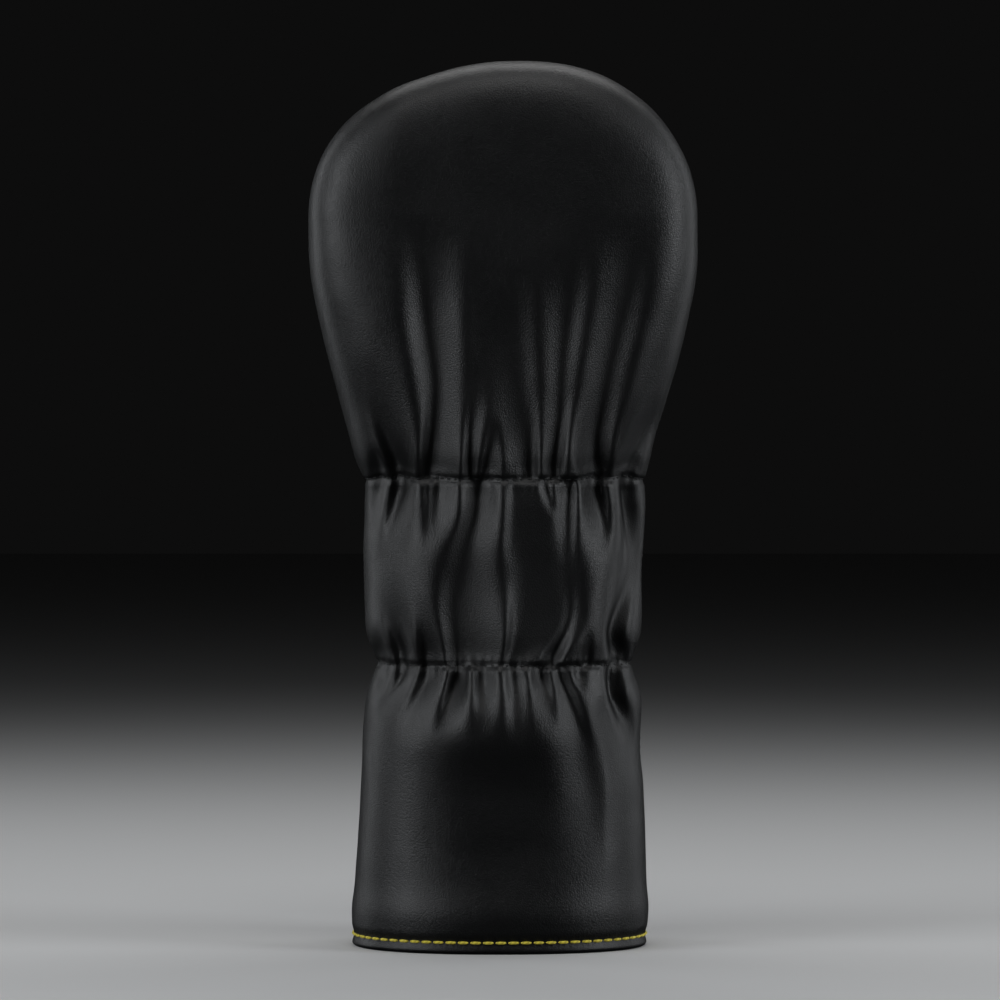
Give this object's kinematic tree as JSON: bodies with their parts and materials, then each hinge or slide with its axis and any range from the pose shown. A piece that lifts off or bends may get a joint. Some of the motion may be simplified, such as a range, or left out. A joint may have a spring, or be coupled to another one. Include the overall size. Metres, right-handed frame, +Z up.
{
  "type": "driver head cover",
  "caption": "Padded leather head cover for a golf driver: domed mitten head, sleeve gathered by elastics across its back, turned hem with a contrasting topstitch and an open mouth below.",
  "frame": {"origin": "centre of the oval that the hem stands on, at the bottom of the cover", "axes": "+Z up the cover from its mouth to its crown, +Y out of the plain front, -Y out of the gathered back, +X to the right when the gathered back is seen from outside"},
  "size_m": [0.1435, 0.0874, 0.322],
  "materials": {
    "leather": "satin, fine pebble grain",
    "padding": "matte open-cell foam",
    "fleece": "soft napped pile",
    "sleeve_cloth": "matte knit",
    "elastic": "matte woven",
    "black_thread": "satin twisted thread",
    "yellow_thread": "satin twisted thread"
  },
  "bodies": {
    "root": {"back_panel": "leather", "front_panel": "leather", "back_foam": "padding", "front_foam": "padding", "back_head_lining": "fleece", "front_head_lining": "fleece", "back_sleeve_lining": "sleeve_cloth", "front_sleeve_lining": "sleeve_cloth", "upper_elastic": "elastic", "lower_elastic": "elastic", "upper_gather_thread": "black_thread", "lower_gather_thread": "black_thread", "seam_thread": "black_thread", "hem_thread": "yellow_thread"}
  },
  "joints": []
}
